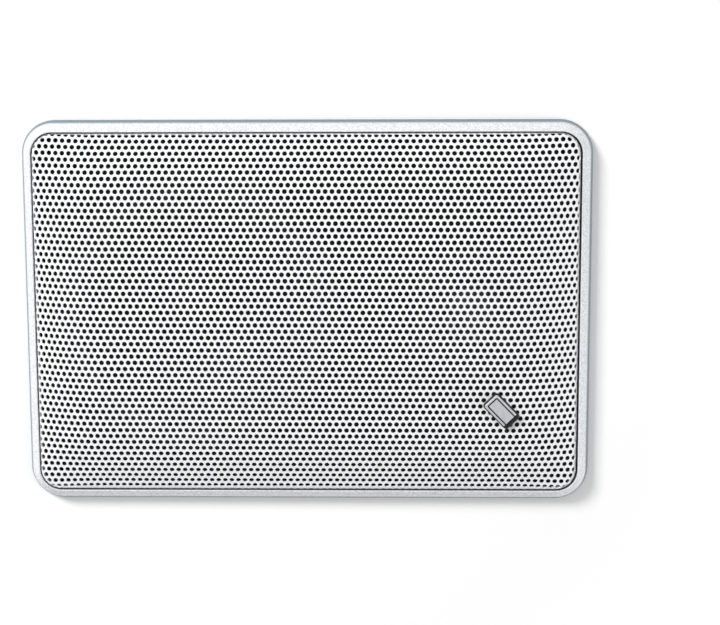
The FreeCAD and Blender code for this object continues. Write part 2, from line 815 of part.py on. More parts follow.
def make_tweeter_surround():
    inner = tweeter_roll_inner
    middle = inner + dome_wall / 2 + tweeter_roll_radius
    small = tweeter_roll_radius - dome_wall / 2
    large = tweeter_roll_radius + dome_wall / 2
    back = tweeter_seat
    front = tweeter_seat - dome_wall
    outer = tweeter_lip_radius
    profile = [
        (middle + small, back), (outer, back), (outer, front), (middle + large, front),
        ((middle, front - large), (inner, front)),
        (inner, back), (middle - small, back),
        ((middle, back - small - dome_wall / 2), (middle + small, back)),
    ]
    return turned(tweeter_x, 0, profile)


def make_tweeter_top_plate():
    hole = tweeter_coil_radius + tweeter_gap_clearance
    return ring_at(tweeter_x, 0, spigot_radius, hole, tweeter_seat, tweeter_magnet_front)


def make_tweeter_magnet():
    bore = tweeter_coil_radius + tweeter_gap_clearance + tweeter_bore_step
    return ring_at(tweeter_x, 0, spigot_radius, bore, tweeter_magnet_front, tweeter_yoke_front)


def make_tweeter_yoke():
    pole = dome_radius - dome_wall - tweeter_gap_clearance
    edge = spigot_radius - edge_bevel
    profile = [
        (0.0, tweeter_seat), (pole, tweeter_seat), (pole, tweeter_yoke_front), (edge, tweeter_yoke_front),
        (edge, tweeter_back - edge_bevel), (edge - edge_bevel, tweeter_back), (0.0, tweeter_back),
    ]
    return turned(tweeter_x, 0, profile)


def make_tweeter_screws():
    return Part.makeCompound([pan_screw(x, z, faceplate_front, tweeter_screw_length, 1)
                              for x, z in tweeter_screw_places])


def make_tweeter_terminal_board():
    return box_at(tweeter_x, 0, terminal_board_width, tweeter_board_height, tweeter_back,
                  tweeter_back + board_thickness)


def make_tweeter_tabs():
    root = tweeter_back + board_thickness
    z = -tab_thickness / 2
    return Part.makeCompound([blade(tweeter_x + side * tab_spacing / 2, z, root, tab_length)
                              for side in (-1, 1)])


def make_crossover_board():
    board = box_at(crossover_x, crossover_z, crossover_width, crossover_height, standoff_depth,
                   crossover_back)
    hole = screw_radius + flange_hole_clearance
    return board.cut([cylinder_at(x, z, hole, standoff_depth, crossover_back) for x, z in standoff_places])


def make_crossover_screws():
    length = board_thickness + standoff_depth / 2
    return Part.makeCompound([pan_screw(x, z, crossover_back, length, -1) for x, z in standoff_places])


# Places of the parts on the board, worked out from its left edge and its middle
capacitor_x = crossover_x - crossover_width / 2 + 2 * standoff_inset + part_spacing + capacitor_length / 2
bobbin_x = capacitor_x + capacitor_length / 2 + part_spacing + bobbin_radius
capacitor_z = crossover_z - part_spacing / 2 - capacitor_radius
resistor_z = crossover_z + part_spacing / 2 + resistor_side / 2


def make_crossover_capacitor():
    start = Vector(capacitor_x - capacitor_length / 2, crossover_back + capacitor_radius, capacitor_z)
    can = Part.makeCylinder(capacitor_radius, capacitor_length, start, Vector(1, 0, 0))
    ends = [e for e in can.Edges if isinstance(e.Curve, Part.Circle)]
    return can.makeFillet(capacitor_round, ends)


def make_inductor_bobbin():
    front = crossover_back + bobbin_flange
    back = crossover_back + bobbin_height
    profile = [
        (0.0, crossover_back), (bobbin_radius, crossover_back),
        (bobbin_radius, front), (bobbin_core_radius, front),
        (bobbin_core_radius, back - bobbin_flange), (bobbin_radius, back - bobbin_flange),
        (bobbin_radius, back), (0.0, back),
    ]
    return turned(bobbin_x, crossover_z, profile)


def make_inductor_winding():
    return ring_at(bobbin_x, crossover_z, bobbin_radius - winding_inset, bobbin_core_radius,
                   crossover_back + bobbin_flange, crossover_back + bobbin_height - bobbin_flange)


def make_crossover_resistor():
    block = box_at(capacitor_x, resistor_z, resistor_length, resistor_side, crossover_back,
                   crossover_back + resistor_side)
    top = [e for e in block.Edges
           if all(abs(v.Y - crossover_back - resistor_side) < 0.001 for v in e.Vertexes)]
    return block.makeChamfer(edge_bevel, top)


def make_input_tabs():
    x = bobbin_x + bobbin_radius + part_spacing + tab_width / 2
    return Part.makeCompound([blade(x, crossover_z + side * tab_spacing / 2 - tab_thickness / 2,
                                    crossover_back, tab_length) for side in (-1, 1)])


pieces = {
    "bezel": make_bezel,
    "chassis": make_chassis,
    "mounting_gasket": make_mounting_gasket,
    "grille": make_grille,
    "grille_clips": make_grille_clips,
    "badge": make_badge,
    "badge_nuts": make_badge_nuts,
    "woofer_basket": make_woofer_basket,
    "woofer_cone": make_woofer_cone,
    "woofer_dust_cap": make_woofer_dust_cap,
    "woofer_former": make_woofer_former,
    "woofer_coil": make_woofer_coil,
    "woofer_surround": make_woofer_surround,
    "woofer_spider": make_woofer_spider,
    "woofer_gasket_ring": make_woofer_gasket_ring,
    "woofer_top_plate": make_woofer_top_plate,
    "woofer_magnet": make_woofer_magnet,
    "woofer_yoke": make_woofer_yoke,
    "woofer_screws": make_woofer_screws,
    "woofer_terminal_board": make_woofer_terminal_board,
    "woofer_tabs": make_woofer_tabs,
    "tweeter_faceplate": make_tweeter_faceplate,
    "tweeter_dome": make_tweeter_dome,
    "tweeter_coil": make_tweeter_coil,
    "tweeter_surround": make_tweeter_surround,
    "tweeter_top_plate": make_tweeter_top_plate,
    "tweeter_magnet": make_tweeter_magnet,
    "tweeter_yoke": make_tweeter_yoke,
    "tweeter_screws": make_tweeter_screws,
    "tweeter_terminal_board": make_tweeter_terminal_board,
    "tweeter_tabs": make_tweeter_tabs,
    "crossover_board": make_crossover_board,
    "crossover_screws": make_crossover_screws,
    "crossover_capacitor": make_crossover_capacitor,
    "inductor_bobbin": make_inductor_bobbin,
    "inductor_winding": make_inductor_winding,
    "crossover_resistor": make_crossover_resistor,
    "input_tabs": make_input_tabs,
}

os.makedirs("parts", exist_ok=True)
for name, make in pieces.items():
    shape = make()
    shape.exportStep("parts/" + name + ".step")
    print(name, len(shape.Solids), shape.isValid(), round(shape.Volume, 1))
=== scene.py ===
import json
import math
import bpy
import numpy as np
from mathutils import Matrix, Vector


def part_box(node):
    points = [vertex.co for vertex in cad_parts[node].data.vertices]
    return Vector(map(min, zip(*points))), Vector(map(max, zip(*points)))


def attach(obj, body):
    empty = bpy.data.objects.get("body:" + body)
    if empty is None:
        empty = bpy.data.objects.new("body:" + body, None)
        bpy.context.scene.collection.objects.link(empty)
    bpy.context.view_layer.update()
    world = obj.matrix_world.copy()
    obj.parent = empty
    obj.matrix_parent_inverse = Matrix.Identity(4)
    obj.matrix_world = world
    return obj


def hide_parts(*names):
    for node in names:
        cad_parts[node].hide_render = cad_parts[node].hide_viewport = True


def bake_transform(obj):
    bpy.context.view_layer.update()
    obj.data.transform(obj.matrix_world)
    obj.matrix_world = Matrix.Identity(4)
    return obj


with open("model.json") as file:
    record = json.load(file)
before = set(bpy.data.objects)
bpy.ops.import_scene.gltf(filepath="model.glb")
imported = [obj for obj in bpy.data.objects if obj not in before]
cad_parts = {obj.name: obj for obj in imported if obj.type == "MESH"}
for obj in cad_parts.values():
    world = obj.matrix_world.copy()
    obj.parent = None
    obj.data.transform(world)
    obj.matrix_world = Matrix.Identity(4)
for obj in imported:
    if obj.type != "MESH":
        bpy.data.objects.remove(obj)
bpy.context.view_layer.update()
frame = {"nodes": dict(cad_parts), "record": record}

nodes = frame["nodes"]
print("frame loaded")


# Small helpers for modelling with operators

def deselectAll():
    if bpy.context.mode != "OBJECT":
        bpy.ops.object.mode_set(mode="OBJECT")
    bpy.ops.object.select_all(action="DESELECT")


def activate(obj):
    deselectAll()
    obj.select_set(True)
    bpy.context.view_layer.objects.active = obj


def newest(name):
    obj = bpy.context.object
    obj.name = name
    obj.data.name = name
    return obj


def applyAll(obj):
    activate(obj)
    for modifier in list(obj.modifiers):
        bpy.ops.object.modifier_apply(modifier=modifier.name)


def points(obj):
    flat = np.empty(len(obj.data.vertices) * 3)
    obj.data.vertices.foreach_get("co", flat)
    return flat.reshape(-1, 3)


def setPoints(obj, places):
    obj.data.vertices.foreach_set("co", places.ravel())
    obj.data.update()


def editMode(obj, kind):
    activate(obj)
    bpy.ops.object.mode_set(mode="EDIT")
    bpy.ops.mesh.select_mode(type=kind)


def selectVerts(obj, mask):
    editMode(obj, "VERT")
    bpy.ops.mesh.select_all(action="DESELECT")
    bpy.ops.object.mode_set(mode="OBJECT")
    obj.data.vertices.foreach_set("select", np.asarray(mask, dtype=bool))
    bpy.ops.object.mode_set(mode="EDIT")


def weld(obj, distance):
    editMode(obj, "VERT")
    bpy.ops.mesh.select_all(action="SELECT")
    bpy.ops.mesh.remove_doubles(threshold=distance)
    bpy.ops.object.mode_set(mode="OBJECT")


def smooth(obj, degrees):
    activate(obj)
    bpy.ops.object.shade_smooth_by_angle(angle=math.radians(degrees))


# Grille: a punched sheet with staggered holes, pressed to a pillow with its edge turned down
grilleLow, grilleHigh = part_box("grille")
grille = {
    "width": grilleHigh[0] - grilleLow[0], "height": grilleHigh[2] - grilleLow[2],
    "sheet": 0.0006, "corner": 0.0105, "edgeRound": 0.0022, "skirtBack": -0.0036,
    "shoulder": 0.0092, "crown": 0.0108, "bow": 0.0052, "sideBend": 0.0373, "endBend": 0.0305,
    "pitch": 0.0033985, "row": 0.0032076, "holeRadius": 0.00130,
    "firstX": -0.00155, "firstZ": 0.002125, "columns": 88, "rowPairs": 32,
    "drawIn": 0.0006, "settle": -0.0003,
    "cornerCuts": 6, "weld": 0.00001, "smooth": 50.0,
    "grab": 0.05,  # how near a hole's corner is picked, as a share of its radius
    "samples": 4000, "reach": 1.12, "edgeSteps": 3, "insetSteps": 17,  # for lengths along the bent sheet
}


def bendShare(place, half, bend):
    inward = np.clip((half - np.abs(place)) / bend, -1.0, 1.0)
    return 1.0 - (1.0 - inward) ** 2


def pillowHeight(x, z):
    bow = grille["bow"] / grille["crown"]
    along = bendShare(z, grille["height"] / 2, grille["endBend"]) * (1 - bow)
    along = along + bow * (1 - (2 * z / grille["height"]) ** 2)
    across = bendShare(x, grille["width"] / 2, grille["sideBend"])
    return grille["shoulder"] + grille["crown"] * across * along


# Badge: its face lies square on the sheet, one thickness above it
badge = {"sideInset": 0.0397, "lowInset": 0.0437, "thickness": 0.00245, "probe": 0.0005,
         "turn": 46.0, "length": 0.0176, "shadedEnd": 0.0024, "fade": 0.0002}


def badgeFace():
    x = grille["width"] / 2 - badge["sideInset"]
    z = badge["lowInset"] - grille["height"] / 2
    step = badge["probe"]
    slopeX = (pillowHeight(x + step, z) - pillowHeight(x - step, z)) / (2 * step)
    slopeZ = (pillowHeight(x, z + step) - pillowHeight(x, z - step)) / (2 * step)
    inward = np.array([slopeX, 1.0, slopeZ])
    inward /= np.linalg.norm(inward)
    return np.array([x, -pillowHeight(x, z), z]) - inward * badge["thickness"], inward


# The badge's long way, laid in its face
def badgeLongWay(inward):
    turn = math.radians(badge["turn"])
    along = np.array([math.cos(turn), 0.0, -math.sin(turn)])
    along -= inward * along.dot(inward)
    return along / np.linalg.norm(along)


badgePlace, badgeInward = badgeFace()
# Where the painted shade on the badge's lower end begins, along its long way
badgeShadedEndFrom = badge["length"] / 2 - badge["shadedEnd"]

# Rim: outline radius and width, for the painted shade inside its opening
rimLow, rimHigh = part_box("bezel")
rim = {"corner": 0.017, "width": 0.006, "edge": 0.00015}
rimCorner = (rimHigh[0] - rim["corner"], 1.0, rimHigh[2] - rim["corner"])


# Shader steps, each giving the socket that carries its result

def mathStep(tree, operation, first, second):
    step = tree.nodes.new("ShaderNodeMath")
    step.operation = operation
    tree.links.new(first, step.inputs[0])
    tree.links.new(second, step.inputs[1])
    return step.outputs[0]


def vectorStep(tree, operation, first, second=None):
    step = tree.nodes.new("ShaderNodeVectorMath")
    step.operation = operation
    tree.links.new(first, step.inputs[0])
    if second is not None:
        step.inputs[1].default_value = second
    return step.outputs["Value" if operation in ("DOT_PRODUCT", "LENGTH") else "Vector"]


def spread(tree, value, low, high):
    step = tree.nodes.new("ShaderNodeMapRange")
    step.inputs["To Min"].default_value = low
    step.inputs["To Max"].default_value = high
    tree.links.new(value, step.inputs["Value"])
    return step.outputs["Result"]


def ease(tree, value, start, end, low=0.0, high=1.0):
    step = tree.nodes.new("ShaderNodeMapRange")
    step.interpolation_type = "SMOOTHSTEP"
    step.inputs["From Min"].default_value = start
    step.inputs["From Max"].default_value = end
    step.inputs["To Min"].default_value = low
    step.inputs["To Max"].default_value = high
    tree.links.new(value, step.inputs["Value"])
    return step.outputs["Result"]


def objectPlace(tree):
    return tree.nodes.new("ShaderNodeTexCoord").outputs["Object"]


def noiseAt(tree, place, scale, detail):
    noise = tree.nodes.new("ShaderNodeTexNoise")
    noise.inputs["Scale"].default_value = scale
    noise.inputs["Detail"].default_value = detail
    tree.links.new(place, noise.inputs["Vector"])
    return noise.outputs["Fac"]


# Finishes: grain in colour, roughness and relief from noise in object coordinates
finish = {"rampFrom": 0.3, "rampTo": 0.7, "detail": 4.0, "reliefDetail": 3.0, "reliefStrength": 0.5,
          "shine": 0.5}


def addGrain(tree, place, look):
    shader = tree.nodes["Principled BSDF"]
    grain = noiseAt(tree, place, look["grain"], finish["detail"])
    ramp = tree.nodes.new("ShaderNodeValToRGB")
    lowStop, highStop = ramp.color_ramp.elements
    lowStop.position = finish["rampFrom"]
    highStop.position = finish["rampTo"]
    lowStop.color = (*look["low"], 1)
    highStop.color = (*look["high"], 1)
    tree.links.new(grain, ramp.inputs["Fac"])
    tree.links.new(ramp.outputs["Color"], shader.inputs["Base Color"])
    tree.links.new(spread(tree, grain, *look["rough"]), shader.inputs["Roughness"])


def addRelief(tree, place, look):
    height = noiseAt(tree, place, look["reliefGrain"], finish["reliefDetail"])
    bump = tree.nodes.new("ShaderNodeBump")
    bump.inputs["Strength"].default_value = finish["reliefStrength"]
    bump.inputs["Distance"].default_value = look["relief"]
    tree.links.new(height, bump.inputs["Height"])
    tree.links.new(bump.outputs["Normal"], tree.nodes["Principled BSDF"].inputs["Normal"])


# Small cells, each a little darker or lighter than the paint
def addSpeckle(tree, place, look):
    colour = tree.nodes["Principled BSDF"].inputs["Base Color"]
    cells = tree.nodes.new("ShaderNodeTexVoronoi")
    cells.inputs["Scale"].default_value = look["speckleGrain"]
    tree.links.new(place, cells.inputs["Vector"])
    parts = tree.nodes.new("ShaderNodeSeparateColor")
    tree.links.new(cells.outputs["Color"], parts.inputs["Color"])
    gain = spread(tree, parts.outputs["Red"], 1.0 - look["speckle"], 1.0 + look["speckle"] / 2)
    scaled = tree.nodes.new("ShaderNodeVectorMath")
    scaled.operation = "SCALE"
    tree.links.new(colour.links[0].from_socket, scaled.inputs[0])
    tree.links.new(gain, scaled.inputs["Scale"])
    tree.links.new(scaled.outputs["Vector"], colour)


# Lays a painted shade colour over the colour so far, by a share from 0 to 1
def addPaintedShade(tree, share, tone):
    colour = tree.nodes["Principled BSDF"].inputs["Base Color"]
    mix = tree.nodes.new("ShaderNodeMix")
    mix.data_type = "RGBA"
    mix.inputs["B"].default_value = (*tone, 1)
    tree.links.new(share, mix.inputs["Factor"])
    tree.links.new(colour.links[0].from_socket, mix.inputs["A"])
    tree.links.new(mix.outputs["Result"], colour)


# Painted shade that comes in along a way from the face, such as deeper in or towards one end
def addShadeAlong(tree, place, face, second):
    offset = vectorStep(tree, "SUBTRACT", place, face)
    along = vectorStep(tree, "DOT_PRODUCT", offset, second["way"])
    addPaintedShade(tree, ease(tree, along, second["from"], second["to"]), second["tone"])


# Painted shade low inside a rounded outline, measured from the middles of its corner rounds: the deep gap
# inside the rim's opening drawn dark
def addGapShade(tree, place, inside):
    beyond = vectorStep(tree, "SUBTRACT", vectorStep(tree, "ABSOLUTE", place), inside["cornerMiddle"])
    reach = vectorStep(tree, "LENGTH", vectorStep(tree, "MAXIMUM", beyond, (0, 0, 0)))
    within = ease(tree, reach, inside["radius"], inside["radius"] + inside["edge"], 1.0, 0.0)
    depth = vectorStep(tree, "DOT_PRODUCT", place, inside["way"])
    below = ease(tree, depth, inside["from"], inside["to"])
    addPaintedShade(tree, mathStep(tree, "MULTIPLY", within, below), inside["tone"])


def surfaceMaterial(name, look):
    mat = bpy.data.materials.new(name)
    mat.use_nodes = True
    tree = mat.node_tree
    shader = tree.nodes["Principled BSDF"]
    shader.inputs["Metallic"].default_value = look.get("metal", 0.0)
    shader.inputs["Specular IOR Level"].default_value = look.get("shine", finish["shine"])
    place = objectPlace(tree)
    mapping = tree.nodes.new("ShaderNodeMapping")
    mapping.inputs["Scale"].default_value = look.get("stretch", (1, 1, 1))
    tree.links.new(place, mapping.inputs["Vector"])
    addGrain(tree, mapping.outputs["Vector"], look)
    if "relief" in look:
        addRelief(tree, mapping.outputs["Vector"], look)
    if "speckle" in look:
        addSpeckle(tree, place, look)
    # Painted shade laid over the colour: along a way from a face, and low inside an opening
    for second in look.get("paintedShades", []):
        addShadeAlong(tree, place, look["face"], second)
    if "inside" in look:
        addGapShade(tree, place, look["inside"])
    return mat


looks = {
    "rim_paint": {"low": (0.77, 0.793, 0.815), "high": (0.80, 0.823, 0.845), "grain": 900.0,
                  "rough": (0.40, 0.52), "relief": 0.00003, "reliefGrain": 1800.0,
                  "speckle": 0.22, "speckleGrain": 1700.0, "face": (0, 0, 0),
                  # painted shade and painted dark reflection: the rim's outer foot turns darker and bluer
                  # towards the wall
                  "paintedShades": [{"tone": (0.18, 0.225, 0.26), "way": (0, 1, 0), "from": -0.0058, "to": -0.0036}],
                  # painted shade: the inner wall of the rim's opening turns dark below the lip, where the
                  # gap is deep
                  "inside": {"tone": (0.15, 0.153, 0.16), "cornerMiddle": rimCorner,
                             "radius": rim["corner"] - rim["width"], "edge": rim["edge"],
                             "way": (0, 1, 0), "from": -0.0094, "to": -0.0084}},
    "chassis_black": {"low": (0.006, 0.006, 0.0065), "high": (0.011, 0.011, 0.0115), "grain": 220.0,
                      "rough": (0.62, 0.78), "shine": 0.2, "relief": 0.00006, "reliefGrain": 1500.0},
    "grille_white": {"low": (0.895, 0.905, 0.915), "high": (0.925, 0.935, 0.945), "grain": 90.0,
                     "rough": (0.42, 0.55), "relief": 0.00003, "reliefGrain": 1400.0},
    "badge_metal": {"low": (0.46, 0.47, 0.49), "high": (0.57, 0.58, 0.60), "grain": 900.0, "metal": 1.0,
                    "stretch": (1.0, 1.0, 0.12), "rough": (0.30, 0.44), "face": badgePlace,
                    # painted shade: the badge's bevel, sides and groove turn dark deeper than its face
                    "paintedShades": [{"tone": (0.02, 0.021, 0.023), "way": badgeInward,
                               "from": 0.00004, "to": 0.00030},
                              # painted shade: the badge's lower end turns dark, standing in for its shaded
                              # side and the shadow under it
                              {"tone": (0.028, 0.029, 0.032), "way": badgeLongWay(badgeInward),
                               "from": badgeShadedEndFrom - badge["fade"], "to": badgeShadedEndFrom}]},
    "gasket_foam": {"low": (0.016, 0.016, 0.016), "high": (0.035, 0.035, 0.035), "grain": 1800.0,
                    "rough": (0.85, 0.97), "relief": 0.0002, "reliefGrain": 2200.0},
    "spring_steel": {"low": (0.010, 0.010, 0.011), "high": (0.020, 0.020, 0.021), "grain": 500.0,
                     "stretch": (1.0, 0.2, 1.0), "rough": (0.50, 0.66), "shine": 0.2},
    "basket_black": {"low": (0.008, 0.008, 0.0085), "high": (0.015, 0.015, 0.016), "grain": 300.0,
                     "rough": (0.50, 0.64), "shine": 0.25, "relief": 0.00005, "reliefGrain": 1700.0},
    "cone_black": {"low": (0.006, 0.006, 0.0065), "high": (0.012, 0.012, 0.0125), "grain": 420.0,
                   "rough": (0.46, 0.62), "shine": 0.2, "relief": 0.00005, "reliefGrain": 900.0},
    "surround_rubber": {"low": (0.007, 0.007, 0.007), "high": (0.014, 0.014, 0.014), "grain": 260.0,
                        "rough": (0.50, 0.64), "shine": 0.25, "relief": 0.00004, "reliefGrain": 1200.0},
    "spider_cloth": {"low": (0.40, 0.27, 0.09), "high": (0.55, 0.40, 0.16), "grain": 1100.0,
                     "rough": (0.75, 0.9), "relief": 0.00015, "reliefGrain": 1600.0},
    "coil_copper": {"low": (0.50, 0.20, 0.08), "high": (0.66, 0.30, 0.13), "grain": 700.0, "metal": 1.0,
                    "stretch": (0.2, 1.0, 0.2), "rough": (0.25, 0.4)},
    "former_aluminium": {"low": (0.60, 0.60, 0.61), "high": (0.70, 0.70, 0.70), "grain": 600.0,
                         "metal": 1.0, "stretch": (1.0, 0.15, 1.0), "rough": (0.3, 0.45)},
    "plated_steel": {"low": (0.53, 0.53, 0.49), "high": (0.59, 0.585, 0.54), "grain": 420.0, "metal": 1.0,
                     "rough": (0.34, 0.42), "relief": 0.00002, "reliefGrain": 1400.0},
    "magnet_ferrite": {"low": (0.030, 0.030, 0.032), "high": (0.062, 0.062, 0.064), "grain": 240.0,
                       "rough": (0.55, 0.75), "relief": 0.0001, "reliefGrain": 1300.0},
    "screw_black": {"low": (0.020, 0.020, 0.021), "high": (0.045, 0.045, 0.046), "grain": 800.0,
                    "metal": 1.0, "rough": (0.35, 0.5)},
    "board_brown": {"low": (0.15, 0.075, 0.025), "high": (0.22, 0.12, 0.045), "grain": 350.0,
                    "stretch": (0.3, 1.0, 1.0), "rough": (0.5, 0.65)},
    "tab_tin": {"low": (0.55, 0.54, 0.50), "high": (0.70, 0.69, 0.64), "grain": 700.0, "metal": 1.0,
                "rough": (0.22, 0.36)},
    "dome_cloth": {"low": (0.010, 0.010, 0.011), "high": (0.024, 0.024, 0.026), "grain": 1600.0,
                   "rough": (0.45, 0.62), "relief": 0.00004, "reliefGrain": 2600.0},
    "capacitor_film": {"low": (0.45, 0.26, 0.03), "high": (0.55, 0.34, 0.05), "grain": 120.0,
                       "stretch": (0.15, 1.0, 1.0), "rough": (0.18, 0.3)},
    "resistor_ceramic": {"low": (0.62, 0.60, 0.52), "high": (0.72, 0.70, 0.62), "grain": 900.0,
                         "rough": (0.7, 0.88), "relief": 0.0001, "reliefGrain": 1800.0},
    "bobbin_plastic": {"low": (0.022, 0.022, 0.023), "high": (0.036, 0.036, 0.038), "grain": 300.0,
                       "rough": (0.3, 0.42)},
}
materials = {name: surfaceMaterial(name, look) for name, look in looks.items()}
slotOf = {part["node"]: part["material_slot"] for part in frame["record"]["subparts"]}


def paint(obj, slot):
    obj.data.materials.clear()
    obj.data.materials.append(materials[slot])


for nodeName, nodeObject in nodes.items():
    paint(nodeObject, slotOf[nodeName])
print("materials set")


# One hole with the five web patches that belong to it
def makePunchedCell():
    pitch, row, radius = grille["pitch"], grille["row"], grille["holeRadius"]
    sides = 8  # the patches below count a hole's eight corners
    around = {"own": (0, 0), "right": (pitch, 0), "upLeft": (-pitch / 2, row), "upRight": (pitch / 2, row),
              "downLeft": (-pitch / 2, -row), "downRight": (pitch / 2, -row)}
    deselectAll()
    bpy.ops.mesh.primitive_plane_add(size=pitch)
    cell = newest("grille")
    bpy.ops.object.mode_set(mode="EDIT")
    bpy.ops.mesh.delete(type="VERT")
    for x, y in around.values():
        bpy.ops.mesh.primitive_circle_add(vertices=sides, radius=radius, location=(x, y, 0),
                                          rotation=(0, 0, math.pi / sides))
    bpy.ops.object.mode_set(mode="OBJECT")

    def corner(hole, index):
        turn = 2 * math.pi * (index + 0.5) / sides
        return np.array([*around[hole], 0]) + radius * np.array([math.cos(turn), math.sin(turn), 0])

    patches = [
        [("own", 7), ("right", 4), ("right", 3), ("own", 0)],
        [("own", 0), ("upRight", 5), ("upRight", 4), ("own", 1)],
        [("own", 2), ("upLeft", 7), ("upLeft", 6), ("own", 3)],
        [("own", 1), ("upRight", 4), ("upLeft", 7), ("own", 2)],
        [("own", 6), ("own", 5), ("downLeft", 0), ("downRight", 3)],
    ]
    for patch in patches:
        places = points(cell)
        near = np.zeros(len(places), dtype=bool)
        for hole, index in patch:
            near |= np.linalg.norm(places - corner(hole, index), axis=1) < radius * grille["grab"]
        selectVerts(cell, near)
        bpy.ops.mesh.edge_face_add()
    bpy.ops.mesh.select_all(action="SELECT")
    bpy.ops.mesh.delete_loose(use_verts=True, use_edges=True, use_faces=False)
    bpy.ops.mesh.normals_make_consistent(inside=False)
    bpy.ops.object.mode_set(mode="OBJECT")
    if cell.data.polygons[0].normal.z < 0:
        editMode(cell, "FACE")
        bpy.ops.mesh.select_all(action="SELECT")
        bpy.ops.mesh.flip_normals()
        bpy.ops.object.mode_set(mode="OBJECT")
    return cell


def repeat(obj, count, step):
    modifier = obj.modifiers.new("repeat", "ARRAY")
    modifier.count = count
    modifier.use_relative_offset = False
    modifier.use_constant_offset = True
    modifier.constant_offset_displace = step


def makeSheet():
    pitch, row = grille["pitch"], grille["row"]
    sheet = makePunchedCell()
    repeat(sheet, 2, (pitch / 2, row, 0))
    repeat(sheet, grille["columns"], (pitch, 0, 0))
    repeat(sheet, grille["rowPairs"], (0, 2 * row, 0))
    applyAll(sheet)
    weld(sheet, grille["weld"])
    return sheet


# Place on the plan for a length measured along the bent sheet from its middle
def unrolled(lengths, heightAt, half):
    places = np.linspace(0.0, half * grille["reach"], grille["samples"])
    step = places[1]
    slope = np.gradient(heightAt(np.minimum(places, half)), step)
    edgeSlope = slope[int(grille["samples"] / grille["reach"]) - grille["insetSteps"]]
    slope = np.where(places < half - step * grille["edgeSteps"], slope, edgeSlope)
    along = np.concatenate([[0.0], np.cumsum(np.hypot(1.0, slope[1:]) * step)])
    return np.sign(lengths) * np.interp(np.abs(lengths), along, places)


# Centres the pattern and draws it together, as the bends take up length
def layOut(sheet):
    flat = points(sheet)
    firstColumn = grille["columns"] // 2 - 1
    flat[:, 0] += grille["firstX"] - firstColumn * grille["pitch"]
    flat[:, 1] += grille["firstZ"] - grille["rowPairs"] * grille["row"]
    halfX, halfZ = grille["width"] / 2, grille["height"] / 2
    planX = unrolled(flat[:, 0], lambda x: pillowHeight(x, 0.0), halfX)
    planZ = unrolled(flat[:, 1], lambda z: pillowHeight(0.0, z), halfZ)
    shareX = np.clip(bendShare(planX, halfX, grille["sideBend"]), 0.0, 1.0)
    shareZ = np.clip((pillowHeight(0.0, planZ) - grille["shoulder"]) / grille["crown"], 0.0, 1.0)
    flat[:, 0] += (planX - flat[:, 0]) * shareZ ** 2
    flat[:, 1] += (planZ - flat[:, 1]) * shareX ** 2
    lowShare = (grille["endBend"] - halfZ - flat[:, 1]) / grille["endBend"]
    flat[:, 1] += grille["drawIn"] * np.clip(lowShare, 0.0, 1.0)  # the lower rows are drawn in a little more
    setPoints(sheet, flat)


# Turned-down edge: where its bend starts, and the lengths of the bend and the skirt
def edgeOutline():
    lean = math.atan(2 * grille["crown"] / grille["sideBend"])
    inset = grille["edgeRound"] * (1 - math.sin(lean))
    corner = grille["corner"] - inset
    skirtTop = grille["shoulder"] + inset * math.tan(lean) - grille["edgeRound"] * math.cos(lean)
    return {"inset": inset, "corner": corner,
            "coreX": grille["width"] / 2 - inset - corner, "coreZ": grille["height"] / 2 - inset - corner,
            "bend": grille["edgeRound"] * (math.pi / 2 - lean), "skirt": skirtTop + grille["skirtBack"]}


# Trims the blank to its rounded outline, one straight cut after another
def trim(sheet, edge):
    cutRadius = edge["corner"] + (edge["bend"] + edge["skirt"])
    editMode(sheet, "FACE")
    for turn in np.radians(np.arange(0, 360, 90 / grille["cornerCuts"])):
        way = np.array([math.cos(turn), math.sin(turn), 0])
        side = np.sign(np.round(way, 6))  # rounded, so that a cut square to a side has no other side
        middle = side * (edge["coreX"], edge["coreZ"], 0)
        bpy.ops.mesh.select_all(action="SELECT")
        bpy.ops.mesh.bisect(plane_co=middle + way * cutRadius, plane_no=way, clear_outer=True)
    bpy.ops.mesh.select_all(action="SELECT")
    bpy.ops.mesh.remove_doubles(threshold=grille["weld"])
    bpy.ops.mesh.delete_loose(use_verts=True, use_edges=True, use_faces=False)
    bpy.ops.object.mode_set(mode="OBJECT")


# Presses the field to the pillow, and the margin over the edge bend and down the skirt
def press(sheet, edge):
    flat = points(sheet)
    x, z = flat[:, 0], flat[:, 1]
    coreX = np.clip(x, -edge["coreX"], edge["coreX"])
    coreZ = np.clip(z, -edge["coreZ"], edge["coreZ"])
    away = np.hypot(x - coreX, z - coreZ)
    length = np.where(away > 0, away, 1.0)
    wayX, wayZ = (x - coreX) / length, (z - coreZ) / length
    beyond = np.maximum(away - edge["corner"], 0.0)
    past = beyond > 0
    edgeX = np.where(past, coreX + wayX * edge["corner"], x)
    edgeZ = np.where(past, coreZ + wayZ * edge["corner"], z)
    height = pillowHeight(edgeX, edgeZ)
    fall = pillowHeight(edgeX - wayX * edge["inset"], edgeZ - wayZ * edge["inset"]) - height
    lean = np.arctan(np.maximum(fall / edge["inset"], 0.0))
    turn = lean + np.clip(beyond / edge["bend"], 0.0, 1.0) * (math.pi / 2 - lean)
    out = edge["inset"] * (np.sin(turn) - np.sin(lean)) / (1 - np.sin(lean))
    drop = grille["edgeRound"] * (np.cos(lean) - np.cos(turn))
    skirt = height - grille["edgeRound"] * np.cos(lean) + grille["skirtBack"]
    drop += skirt * np.clip((beyond - edge["bend"]) / edge["skirt"], 0.0, 1.0)
    pressed = np.empty_like(flat)
    pressed[:, 0] = np.where(past, edgeX + wayX * out, x) + grille["settle"]
    pressed[:, 1] = np.where(past, drop - height, -height)
    pressed[:, 2] = np.where(past, edgeZ + wayZ * out, z)
    setPoints(sheet, pressed)


